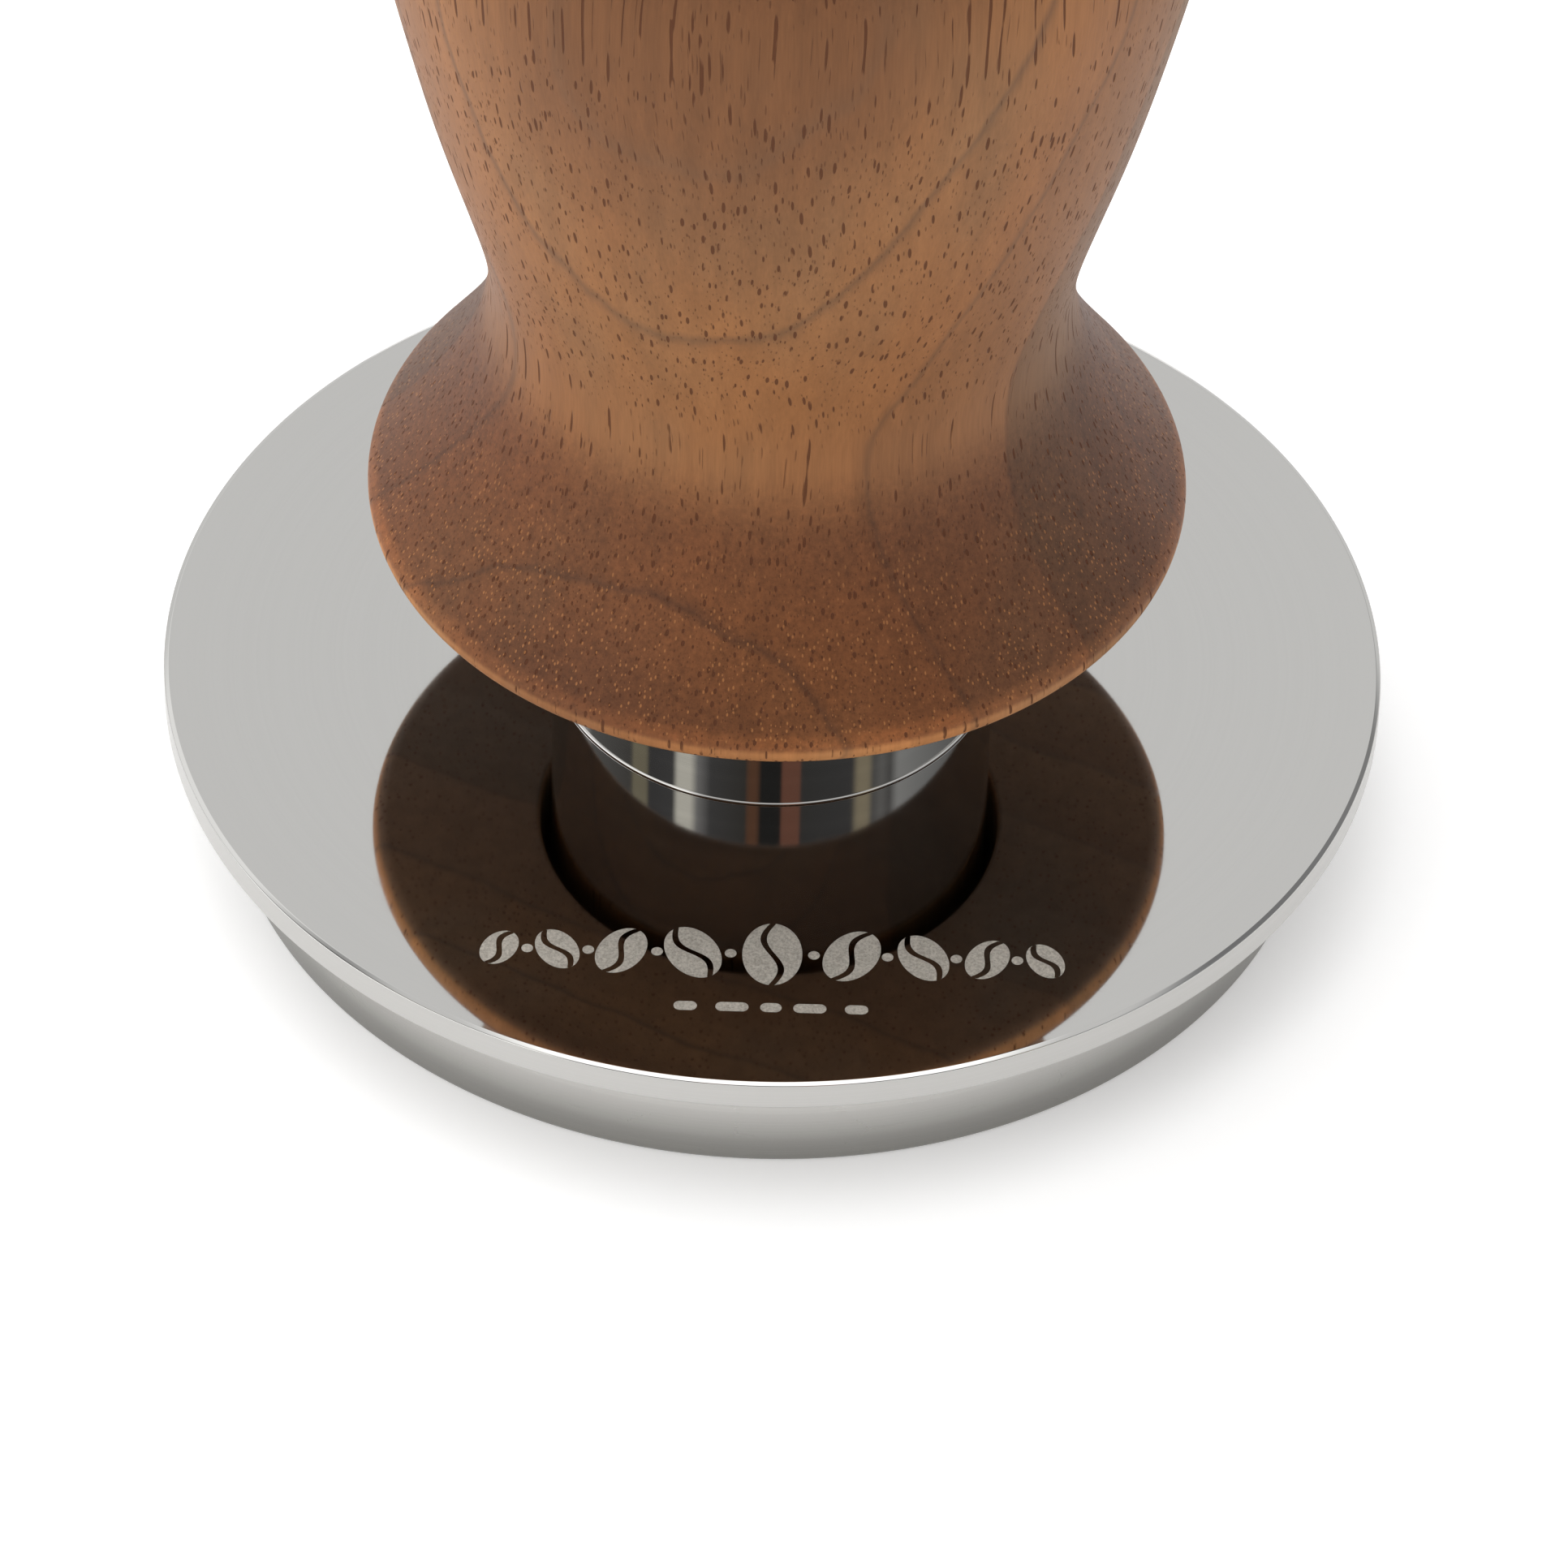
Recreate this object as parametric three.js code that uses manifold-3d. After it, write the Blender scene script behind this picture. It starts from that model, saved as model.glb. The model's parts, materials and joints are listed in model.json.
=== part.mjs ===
// Self-levelling, spring-loaded espresso tamper with a turned walnut handle.
// Millimetres, +Z up. The origin is the centre of the flat tamping face, so the tamper
// stands on Z = 0 and every piece is turned about the Z axis.
//
// How it works: the puck and the stepped guide post are one rigid column. A polished
// plate rides up the post on a plastic bush and rests on the rim of the filter basket
// while the puck goes down into it; a light spring returns it. The handle slides down the
// thin end of the post against the strong spring, until the stop tube ends its travel at
// the calibrated force.
import * as THREE from "three";
import { mergeVertices } from "three/addons/utils/BufferGeometryUtils.js";
import Module from "manifold-3d";

const wasm = await Module();
wasm.setup();

// Driving dimensions.
const puckR = 29.175; // 58.35 mm tamping face
const puckH = 7.1;
const plateR = 32.4; // the plate overhangs the puck and lands on the basket's rim
const plateT = 1.7;
const restGap = 0.1; // between pieces that touch at rest
const seatGap = 0.05; // between stacked pieces
const runningGap = 0.12; // all round, between a bush and what it slides on
const sleeveR = 11.75; // the polished neck between plate and handle
const rimR = 21.43; // widest circle of the handle's flared skirt
const waistR = 15.1;
const bulbR = 21.5; // widest circle of the palm bulb
const handleTop = 85;
const postR = 8; // lower, thick end of the guide post
const shaftR = 4; // upper, thin end
const liftTravel = 8; // plate up the post
const pressTravel = 3.5; // handle down the shaft

// Heights worked out from them.
const plateZ = puckH + restGap; // plate's underside, which is the basket seat
const plateTop = plateZ + plateT;
const handleZ = plateTop + liftTravel + pressTravel + 0.3; // handle's underside
const rimZ = handleZ + 0.9; // level of the skirt's widest circle
const waistZ = rimZ + 14.2;
const bulbZ = 67;
const sleeveTop = handleZ + 5.9; // the neck always reaches into the handle
const postShoulder = 33; // the strong spring stands on this shoulder
const shaftTop = 60.6;
const springTop = 54.5; // strong spring's upper end at rest
const coreZ = 39.4; // underside of the handle core's flange
const webZ = 55.65; // core's web, which carries the spring's force
const webT = 4.05;
const boreTop = 70.2; // blind end of the handle's bore
const coreBoreR = 8.9;
const coreR = 10.5;
const mouthR = 12.4; // bore that the neck slides up into

// Fineness.
const roundSteps = 48; // sides of the large turned pieces
const smallSteps = 24; // sides of the small ones

// Materials.
function material(color, roughness, metalness) {
  return new THREE.MeshStandardMaterial({ color, roughness, metalness });
}
const finish = {
  mirrorSteel: material(0xd2d1cd, 0.04, 1),
  turnedSteel: material(0xbdbab4, 0.25, 1),
  springSteel: material(0x8d8f92, 0.35, 1),
  walnut: material(0x9a6846, 0.5, 0),
  aluminium: material(0xb9bbbd, 0.4, 1),
  bronze: material(0xa57c45, 0.45, 1),
  acetal: material(0xe9e6dd, 0.55, 0),
  rubber: material(0x1b1b1c, 0.8, 0),
};

// Shape helpers.

// Points on an arc, in degrees, for a lathe profile of (radius, height) pairs.
function arc(r, z, radius, from, to, steps) {
  return Array.from({ length: steps + 1 }, (_, i) => {
    const a = THREE.MathUtils.degToRad(from + ((to - from) * i) / steps);
    return [r + radius * Math.cos(a), z + radius * Math.sin(a)];
  });
}

// A solid of revolution about Z. The profile runs clockwise when radius is drawn to the
// right and height up; one that doesn't begin on the axis is closed on itself.
function turned(profile, steps) {
  const onAxis = profile[0][0] === 0;
  const closed = onAxis ? profile : [...profile, profile[0]];
  const points = closed.map(([r, z]) => new THREE.Vector2(r, z)).reverse();
  return new THREE.LatheGeometry(points, steps).rotateX(Math.PI / 2);
}

// A flat washer or plain tube.
function tube(innerR, outerR, low, high, steps = smallSteps, chamfer = 0) {
  const c = chamfer;
  const outer = c
    ? [[outerR - c, high], [outerR, high - c], [outerR, low + c], [outerR - c, low]]
    : [[outerR, high], [outerR, low]];
  return turned([[innerR, high], ...outer, [innerR, low]], steps);
}

// Geometry to a manifold-3d solid and back, for the few boolean cuts.
function solidOf(geometry) {
  const bare = new THREE.BufferGeometry();
  bare.setAttribute("position", geometry.getAttribute("position"));
  if (geometry.index) bare.setIndex(geometry.index);
  const merged = mergeVertices(bare, 1e-4);
  return new wasm.Manifold(
    new wasm.Mesh({
      numProp: 3,
      vertProperties: merged.attributes.position.array,
      triVerts: new Uint32Array(merged.index.array),
    }),
  );
}

function geometryOf(solid) {
  const mesh = solid.getMesh();
  const geometry = new THREE.BufferGeometry();
  geometry.setAttribute("position", new THREE.BufferAttribute(mesh.vertProperties, 3));
  geometry.setIndex(new THREE.BufferAttribute(mesh.triVerts, 1));
  geometry.computeVertexNormals();
  return geometry;
}

// A hexagonal prism that cuts a key socket of the given width across flats.
function hexCutter(acrossFlats, low, high) {
  const cornerR = acrossFlats / Math.sqrt(3);
  const prism = new THREE.CylinderGeometry(cornerR, cornerR, high - low, 6);
  return solidOf(prism.rotateX(Math.PI / 2).translate(0, 0, (low + high) / 2));
}

// Centreline of a compression spring: one closed turn at each end, open turns between.
class SpringLine extends THREE.Curve {
  constructor(meanR, wire, low, high, turns) {
    super();
    Object.assign(this, { meanR, wire, low, high, turns });
  }
  getPoint(t, target = new THREE.Vector3()) {
    const endPitch = this.wire * 1.12;
    const inset = this.wire * 0.32; // the end turns are ground flat
    const span = this.high - this.low - 2 * inset;
    const openPitch = (span - 2 * endPitch) / (this.turns - 2);
    const turn = t * this.turns;
    const open = Math.min(Math.max(turn - 1, 0), this.turns - 2);
    const rise = turn - open;
    const z = this.low + inset + rise * endPitch + open * openPitch;
    const a = turn * 2 * Math.PI;
    return target.set(this.meanR * Math.cos(a), this.meanR * Math.sin(a), z);
  }
}

// A coil of round wire whose two ends are ground flat between low and high.
function spring(meanR, wire, low, high, turns, stepsPerTurn, sides) {
  const section = new THREE.Shape(
    Array.from({ length: sides }, (_, i) => {
      const a = ((i + 0.5) * 2 * Math.PI) / sides;
      return new THREE.Vector2((wire / 2) * Math.cos(a), (wire / 2) * Math.sin(a));
    }),
  );
  const coil = new THREE.ExtrudeGeometry(section, {
    extrudePath: new SpringLine(meanR, wire, low, high, turns),
    steps: Math.round(turns * stepsPerTurn),
  });
  const slab = new THREE.BoxGeometry(4 * meanR, 4 * meanR, high - low);
  slab.translate(0, 0, (low + high) / 2);
  return geometryOf(solidOf(coil).intersect(solidOf(slab)));
}

// A flat ring with a gap, such as a snap ring or a split washer.
function splitRing(innerR, outerR, low, high, gapDegrees) {
  const half = gapDegrees / 2;
  const outer = arc(0, 0, outerR, half, 360 - half, smallSteps);
  const inner = arc(0, 0, innerR, 360 - half, half, smallSteps);
  const shape = new THREE.Shape([...outer, ...inner].map(([x, y]) => new THREE.Vector2(x, y)));
  const settings = { depth: high - low, bevelEnabled: false };
  return new THREE.ExtrudeGeometry(shape, settings).translate(0, 0, low);
}

// The column: puck, guide post and what is fixed to it.
const studHoleR = 4;
const studHoleZ = 1.6;
const studTop = 17;
const studSocket = { flats: 4, depth: 4 };
const footR = postR + 0.1; // counterbore that centres the post's foot
const footZ = 6;
const ringMeanR = 6.3; // sealing ring in the counterbore's floor
const ringWire = 0.48;
const ringGrooveH = 1;

function tampingBase() {
  const edge = 0.3;
  const groove = ringWire + 0.3;
  return turned(
    [
      [0, studHoleZ],
      [studHoleR, studHoleZ],
      [studHoleR, footZ],
      [ringMeanR - groove, footZ],
      [ringMeanR - groove, footZ - ringGrooveH],
      [ringMeanR + groove, footZ - ringGrooveH],
      [ringMeanR + groove, footZ],
      [footR, footZ],
      [footR, puckH],
      [puckR - edge, puckH],
      [puckR, puckH - edge],
      [puckR, edge],
      [puckR - edge, 0],
      [0, 0],
    ],
    roundSteps,
  );
}

function sealingRing() {
  const lift = 0.04;
  const z = footZ - ringGrooveH + ringWire + lift;
  const circle = arc(ringMeanR, z, ringWire, 90, -225, 7); // eight-sided section
  return turned(circle, smallSteps);
}

function baseStud() {
  const r = studHoleR - 0.15;
  const low = studHoleZ + restGap;
  const high = studTop;
  const edge = 0.6;
  const body = turned(
    [[0, high], [r - edge, high], [r, high - edge], [r, low + edge], [r - edge, low], [0, low]],
    smallSteps,
  );
  const socket = hexCutter(studSocket.flats, high - studSocket.depth, high + 1);
  return geometryOf(solidOf(body).subtract(socket));
}

const clipZ = 31.1; // snap ring groove near the top of the thick end
const clipT = 1.2;
const screwHoleR = 2.1;
const screwHoleZ = 50.8; // bottom of the tapped hole in the thin end

function guidePost() {
  const grooveR = postR - 0.8;
  const tipEdge = 0.4;
  const edge = 0.3;
  const low = footZ + seatGap;
  const studHoleTop = studTop + 0.6;
  return turned(
    [
      [0, screwHoleZ],
      [screwHoleR, screwHoleZ],
      [screwHoleR, shaftTop],
      [shaftR - tipEdge, shaftTop],
      [shaftR, shaftTop - tipEdge],
      [shaftR, postShoulder],
      [postR - edge, postShoulder],
      [postR, postShoulder - edge],
      [postR, clipZ + clipT],
      [grooveR, clipZ + clipT],
      [grooveR, clipZ],
      [postR, clipZ],
      [postR, low],
      [studHoleR, low],
      [studHoleR, studHoleTop],
      [0, studHoleTop],
    ],
    smallSteps,
  );
}

const guideRingR = 10.35; // runs inside the neck
const guideRingT = 0.95;
const guideRingZ = clipZ - seatGap - guideRingT; // upper seat of the light spring
const washerEdge = 0.15;

function upperGuideRing() {
  const high = clipZ - seatGap;
  return tube(postR + runningGap, guideRingR, guideRingZ, high, smallSteps, washerEdge);
}

// The snap ring ends in two round ears for the pliers.
function snapRing() {
  const low = clipZ + restGap;
  const high = clipZ + clipT - restGap;
  const innerR = postR - 0.7;
  const outerR = 9.3;
  const gap = 40; // degrees
  const earGap = 50; // degrees between the middles of the ears
  const earR = 1.05;
  const earAt = 9.15;
  let ring = solidOf(splitRing(innerR, outerR, low, high, gap));
  for (const side of [-1, 1]) {
    const a = THREE.MathUtils.degToRad((side * earGap) / 2);
    const ear = new THREE.CylinderGeometry(earR, earR, high - low, 12).rotateX(Math.PI / 2);
    ear.translate(earAt * Math.cos(a), earAt * Math.sin(a), (low + high) / 2);
    ring = ring.add(solidOf(ear));
  }
  return geometryOf(ring);
}

function stopTube() {
  const high = springTop - pressTravel - seatGap; // the thrust washer lands here
  const innerR = shaftR + 0.2;
  const outerR = 5.4; // clear of the strong spring's coils
  return tube(innerR, outerR, postShoulder + seatGap, high, smallSteps, 0.2);
}

const coilSteps = 12; // steps in each turn of a spring
const wireSides = 6;

function strongSpring() {
  const meanR = 7;
  const wire = 2;
  const turns = 7.5;
  const low = postShoulder + seatGap;
  return spring(meanR, wire, low, springTop, turns, coilSteps, wireSides);
}

const washerT = 1.2;
const washerBoreR = 2.7;
const washerZ = shaftTop + seatGap;
const lockZ = washerZ + washerT + seatGap;
const headZ = lockZ + washerT + seatGap;

function retainingWasher() {
  const outerR = 7.4;
  return tube(washerBoreR, outerR, washerZ, washerZ + washerT, smallSteps, washerEdge);
}

function lockWasher() {
  const outerR = 4.4;
  const gap = 14; // degrees
  return splitRing(washerBoreR, outerR, lockZ, lockZ + washerT, gap);
}

function retainingScrew() {
  const headR = 4.25;
  const headH = 3;
  const headEdge = 0.4;
  const socketFlats = 3;
  const socketFloor = headZ + 1.2;
  const shankR = screwHoleR - 0.15;
  const tip = 0.5;
  const low = screwHoleZ + 0.4;
  const body = turned(
    [
      [0, headZ + headH],
      [headR - headEdge, headZ + headH],
      [headR, headZ + headH - headEdge],
      [headR, headZ],
      [shankR, headZ],
      [shankR, low + tip],
      [shankR - tip, low],
      [0, low],
    ],
    smallSteps,
  );
  const socket = hexCutter(socketFlats, socketFloor, headZ + headH + 1);
  return geometryOf(solidOf(body).subtract(socket));
}

// The levelling plate and its neck.
const spigotR = 11.1;
const bushHoleR = 9.25;
const sleeveBoreR = 10.5;
const sleeveStep = 14.2; // shoulder inside the neck that carries the bush's flange
const bushFlangeT = 0.85;
const bushTop = sleeveStep + seatGap + bushFlangeT;

function levellingPlate() {
  const edge = 0.2;
  const holeR = spigotR + 0.1;
  const seatR = puckR + 0.35; // inner edge of the face that lands on the basket
  return turned(
    [
      [holeR, plateTop],
      [plateR - edge, plateTop],
      [plateR, plateTop - edge],
      [plateR, plateZ + edge / 2],
      [plateR - edge / 2, plateZ],
      [seatR, plateZ],
      [holeR, plateZ],
    ],
    roundSteps,
  );
}

function plateSleeve() {
  const edge = 0.3;
  return turned(
    [
      [bushHoleR, sleeveStep],
      [sleeveBoreR, sleeveStep],
      [sleeveBoreR, sleeveTop],
      [sleeveR - edge, sleeveTop],
      [sleeveR, sleeveTop - edge],
      [sleeveR, plateTop + seatGap],
      [spigotR, plateTop + seatGap],
      [spigotR, plateZ + seatGap],
      [bushHoleR, plateZ + seatGap],
    ],
    roundSteps,
  );
}

function sleeveBush() {
  const low = plateZ + 0.15;
  const innerR = postR + runningGap;
  const bodyR = bushHoleR - 0.1;
  const flangeR = sleeveBoreR - 0.2;
  return turned(
    [
      [innerR, bushTop],
      [flangeR, bushTop],
      [flangeR, sleeveStep + seatGap],
      [bodyR, sleeveStep + seatGap],
      [bodyR, low],
      [innerR, low],
    ],
    smallSteps,
  );
}

const plateWasherT = 0.8;

function plateThrustWasher() {
  const low = bushTop + seatGap;
  const innerR = postR + 0.25;
  const outerR = sleeveBoreR - 0.3;
  return tube(innerR, outerR, low, low + plateWasherT);
}

function lightSpring() {
  const meanR = 9.25;
  const wire = 0.9;
  const turns = 6.5;
  const low = bushTop + plateWasherT + 2 * seatGap;
  return spring(meanR, wire, low, guideRingZ - seatGap, turns, coilSteps, wireSides);
}

// The handle and what is fixed in it.
const thrustT = 1;

function handleThrustWasher() {
  const low = springTop + seatGap;
  const innerR = shaftR + 0.3;
  const outerR = coreBoreR - 0.5;
  return tube(innerR, outerR, low, low + thrustT, smallSteps, washerEdge);
}

const coreFlangeT = 1.5;
const coreBushHoleR = 6.1;

function handleCore() {
  const flangeR = mouthR - 0.3;
  const flangeTop = coreZ + coreFlangeT;
  const top = boreTop - 0.4;
  const leadIn = 0.4;
  return turned(
    [
      [coreBushHoleR, webZ + webT],
      [coreBoreR, webZ + webT],
      [coreBoreR, top],
      [coreR, top],
      [coreR, flangeTop],
      [flangeR, flangeTop],
      [flangeR, coreZ],
      [coreBoreR + leadIn, coreZ],
      [coreBoreR, coreZ + leadIn],
      [coreBoreR, webZ],
      [coreBushHoleR, webZ],
    ],
    smallSteps,
  );
}

function coreBush() {
  const flangeZ = webZ + webT + seatGap;
  const flangeT = 0.8;
  const flangeR = 7.8;
  const bodyR = coreBushHoleR - 0.1;
  const innerR = shaftR + runningGap;
  return turned(
    [
      [innerR, flangeZ + flangeT],
      [flangeR, flangeZ + flangeT],
      [flangeR, flangeZ],
      [bodyR, flangeZ],
      [bodyR, webZ + seatGap],
      [innerR, webZ + seatGap],
    ],
    smallSteps,
  );
}

// Outside of the handle from the top of the palm bulb down to the skirt's lip.
function handleOutline() {
  const domeH = handleTop - bulbZ;
  const power = 2.25;
  const dome = [82, 68, 54, 40, 26, 13].map((degrees) => {
    const a = THREE.MathUtils.degToRad(degrees);
    const r = bulbR * Math.cos(a) ** (2 / power);
    return [r, bulbZ + domeH * Math.sin(a) ** (2 / power)];
  });
  const side = new THREE.SplineCurve(
    [
      [bulbR, bulbZ],
      [20.75, bulbZ - 7],
      [18.05, bulbZ - 19],
      [16.2, bulbZ - 25.4],
      [waistR, waistZ],
      [15.6, waistZ - 3.4],
      [17.6, waistZ - 8.1],
      [rimR - 0.5, rimZ + 0.8],
    ].map(([r, z]) => new THREE.Vector2(r, z)),
  );
  return [[0, handleTop], ...dome, ...side.getPoints(13).map((p) => [p.x, p.y])];
}

function handle() {
  const lipR = rimZ - handleZ;
  const mouthEdge = 0.4;
  const boreR = coreR + 0.1;
  const stepZ = coreZ + coreFlangeT + seatGap;
  return turned(
    [
      ...handleOutline(),
      ...arc(rimR - lipR, rimZ, lipR, 25, -90, 4),
      [mouthR + mouthEdge, handleZ],
      [mouthR, handleZ + mouthEdge],
      [mouthR, stepZ],
      [boreR, stepZ],
      [boreR, boreTop],
      [0, boreTop],
    ],
    roundSteps,
  );
}

// Assembly.
const tamper = new THREE.Group();

function add(name, geometry, look) {
  const mesh = new THREE.Mesh(geometry, look);
  mesh.name = name;
  tamper.add(mesh);
}

add("tamping_base", tampingBase(), finish.turnedSteel);
add("base_o_ring", sealingRing(), finish.rubber);
add("base_stud", baseStud(), finish.springSteel);
add("guide_post", guidePost(), finish.turnedSteel);
add("upper_guide_ring", upperGuideRing(), finish.acetal);
add("post_snap_ring", snapRing(), finish.springSteel);
add("travel_stop_tube", stopTube(), finish.turnedSteel);
add("pressure_spring", strongSpring(), finish.springSteel);
add("retaining_washer", retainingWasher(), finish.turnedSteel);
add("lock_washer", lockWasher(), finish.springSteel);
add("retaining_screw", retainingScrew(), finish.springSteel);

add("levelling_plate", levellingPlate(), finish.mirrorSteel);
add("plate_sleeve", plateSleeve(), finish.turnedSteel);
add("sleeve_bush", sleeveBush(), finish.acetal);
add("plate_thrust_washer", plateThrustWasher(), finish.turnedSteel);
add("levelling_spring", lightSpring(), finish.springSteel);

add("handle_thrust_washer", handleThrustWasher(), finish.turnedSteel);
add("handle_core", handleCore(), finish.aluminium);
add("core_bush", coreBush(), finish.bronze);
add("wood_handle", handle(), finish.walnut);

export default tamper;
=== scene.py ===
import json
import math

import bpy
import numpy as np
from mathutils import Matrix, Vector


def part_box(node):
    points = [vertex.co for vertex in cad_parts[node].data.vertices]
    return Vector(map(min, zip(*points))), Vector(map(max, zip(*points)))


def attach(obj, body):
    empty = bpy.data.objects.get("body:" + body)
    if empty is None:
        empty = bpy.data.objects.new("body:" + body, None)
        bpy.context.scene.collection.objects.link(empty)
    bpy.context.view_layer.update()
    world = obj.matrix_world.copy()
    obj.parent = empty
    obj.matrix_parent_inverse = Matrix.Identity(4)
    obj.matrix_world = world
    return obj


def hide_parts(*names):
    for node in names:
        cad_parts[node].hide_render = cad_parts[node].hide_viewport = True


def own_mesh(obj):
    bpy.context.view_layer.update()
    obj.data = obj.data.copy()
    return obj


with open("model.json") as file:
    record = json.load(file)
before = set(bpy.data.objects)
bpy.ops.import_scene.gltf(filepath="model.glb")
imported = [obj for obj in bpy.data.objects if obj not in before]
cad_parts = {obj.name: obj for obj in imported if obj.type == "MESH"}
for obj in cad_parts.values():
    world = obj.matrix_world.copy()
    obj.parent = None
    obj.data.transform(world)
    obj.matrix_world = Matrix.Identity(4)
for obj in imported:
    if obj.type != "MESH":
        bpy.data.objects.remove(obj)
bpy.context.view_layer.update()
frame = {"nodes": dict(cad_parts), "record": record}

scene = bpy.context.scene
scene.view_settings.view_transform = "Standard"
mm = 0.001


cameraSetup = {
    "elevation": 43.569,  # degrees above the floor
    "roll": 1.482,  # degrees
    "distance": 531.12,  # mm from the aim point
    "aim": (0.776, 0.0, -0.735),  # mm
    "lens": 226.0,  # mm, on a 36 mm sensor
}


def placeCamera(setup):
    elevation = math.radians(setup["elevation"])
    roll = math.radians(setup["roll"])
    right = Vector((1, 0, 0))
    up = Vector((0, math.sin(elevation), math.cos(elevation)))
    back = Vector((0, -math.cos(elevation), math.sin(elevation)))
    turnedRight = right * math.cos(roll) + up * math.sin(roll)
    turnedUp = up * math.cos(roll) - right * math.sin(roll)
    data = bpy.data.cameras.new("camera")
    data.sensor_width = 36.0
    data.lens = setup["lens"]
    data.clip_start = 0.01
    data.clip_end = 20.0
    camera = bpy.data.objects.new("camera", data)
    scene.collection.objects.link(camera)
    place = (Vector(setup["aim"]) + back * setup["distance"]) * mm
    turn = Matrix((turnedRight, turnedUp, back)).transposed().to_4x4()
    camera.matrix_world = Matrix.Translation(place) @ turn
    scene.camera = camera


placeCamera(cameraSetup)
print("camera placed")


def addNode(tree, kind, inputs=None, **settings):
    # one shader node; inputs are plain values or the output sockets that feed them
    made = tree.nodes.new(kind)
    for key, value in settings.items():
        setattr(made, key, value)
    for key, value in (inputs or {}).items():
        socket = made.inputs[key]
        if isinstance(value, bpy.types.NodeSocket):
            tree.links.new(value, socket)
        else:
            socket.default_value = value
    return made


def maths(tree, operation, *values):
    made = addNode(tree, "ShaderNodeMath", dict(enumerate(values)), operation=operation)
    return made.outputs[0]


def remap(tree, value, fromLow, fromHigh, toLow=0.0, toHigh=1.0, smooth=True):
    made = addNode(
        tree,
        "ShaderNodeMapRange",
        {"Value": value, 1: fromLow, 2: fromHigh, 3: toLow, 4: toHigh},
        interpolation_type="SMOOTHSTEP" if smooth else "LINEAR",
    )
    return made.outputs[0]


def mixColours(tree, factor, first, second, blend="MIX"):
    made = tree.nodes.new("ShaderNodeMix")
    made.data_type = "RGBA"
    made.blend_type = blend
    for index, value in ((0, factor), (6, first), (7, second)):
        if isinstance(value, bpy.types.NodeSocket):
            tree.links.new(value, made.inputs[index])
        else:
            made.inputs[index].default_value = value
    return made.outputs[2]


def noise(tree, vector, scale, detail=2.0, roughness=0.5):
    made = addNode(
        tree,
        "ShaderNodeTexNoise",
        {
            "Vector": vector,
            "Scale": scale,
            "Detail": detail,
            "Roughness": roughness,
        },
    )
    return made.outputs["Fac"]


def stretch(tree, vector, x, y, z, shift=(0.0, 0.0, 0.0)):
    made = addNode(
        tree, "ShaderNodeMapping", {"Vector": vector, "Scale": (x, y, z), "Location": shift}
    )
    return made.outputs["Vector"]


def colourRamp(tree, value, stops):
    made = addNode(tree, "ShaderNodeValToRGB", {"Fac": value})
    ramp = made.color_ramp
    while len(ramp.elements) < len(stops):
        ramp.elements.new(1.0)
    for element, (position, colour) in zip(ramp.elements, stops):
        element.position = position
        element.color = colour
    return made.outputs["Color"]


def inMillimetres(tree):
    # object coordinates scaled so that 1 is 1 mm
    coordinates = addNode(tree, "ShaderNodeTexCoord")
    scaled = addNode(
        tree,
        "ShaderNodeVectorMath",
        {0: coordinates.outputs["Object"], "Scale": 1 / mm},
        operation="SCALE",
    )
    return scaled.outputs["Vector"]


def newMaterial(name, settings):
    made = bpy.data.materials.new(name)
    made.use_nodes = True
    tree = made.node_tree
    shader = tree.nodes["Principled BSDF"]
    for key, value in settings.items():
        shader.inputs[key].default_value = value
    return made, tree, shader


def newGroup(name, inputs, outputs):
    group = bpy.data.node_groups.new(name, "ShaderNodeTree")
    for label, kind, value in inputs:
        socket = group.interface.new_socket(label, in_out="INPUT", socket_type=kind)
        if value is not None:
            socket.default_value = value
    for label, kind in outputs:
        group.interface.new_socket(label, in_out="OUTPUT", socket_type=kind)
    start = group.nodes.new("NodeGroupInput")
    end = group.nodes.new("NodeGroupOutput")
    return group, start.outputs, end.inputs


def placeGroup(tree, group, inputs):
    made = tree.nodes.new("ShaderNodeGroup")
    made.node_tree = group
    for key, value in inputs.items():
        if isinstance(value, bpy.types.NodeSocket):
            tree.links.new(value, made.inputs[key])
        else:
            made.inputs[key].default_value = value
    return made.outputs


def bump(tree, height, distance, strength=1.0):
    made = addNode(
        tree, "ShaderNodeBump", {"Height": height, "Distance": distance, "Strength": strength}
    )
    return made.outputs["Normal"]


number = "NodeSocketFloat"
arrow = "NodeSocketVector"


def latheMarksGroup():
    # Fine rings cut round the Z axis. The pattern is 1-D noise of radius plus height,
    # so it runs round a wall and round a flat face alike.
    group, given, wanted = newGroup(
        "latheMarks",
        [("Vector", arrow, None), ("Marks Per Mm", number, 9.0), ("Wander", number, 0.02)],
        [("Height", number), ("Tone", number)],
    )
    parts = addNode(group, "ShaderNodeSeparateXYZ", {0: given["Vector"]}).outputs
    flat = addNode(group, "ShaderNodeCombineXYZ", {0: parts[0], 1: parts[1]}).outputs[0]
    radius = addNode(group, "ShaderNodeVectorMath", {0: flat}, operation="LENGTH").outputs["Value"]
    drift = maths(group, "MULTIPLY", noise(group, given["Vector"], 0.35, 1.0), given["Wander"])
    along = maths(group, "ADD", maths(group, "ADD", radius, parts[2]), drift)
    fine = addNode(
        group,
        "ShaderNodeTexNoise",
        {"W": along, "Scale": given["Marks Per Mm"], "Detail": 3.0, "Roughness": 0.65},
        noise_dimensions="1D",
    ).outputs["Fac"]
    broad = addNode(
        group, "ShaderNodeTexNoise", {"W": along, "Scale": 1.1, "Detail": 2.0}, noise_dimensions="1D"
    ).outputs["Fac"]
    group.links.new(fine, wanted["Height"])
    mostlyFine = maths(group, "MULTIPLY", fine, 0.6)
    tone = maths(group, "ADD", mostlyFine, maths(group, "MULTIPLY", broad, 0.4))
    group.links.new(tone, wanted["Tone"])
    return group


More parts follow.
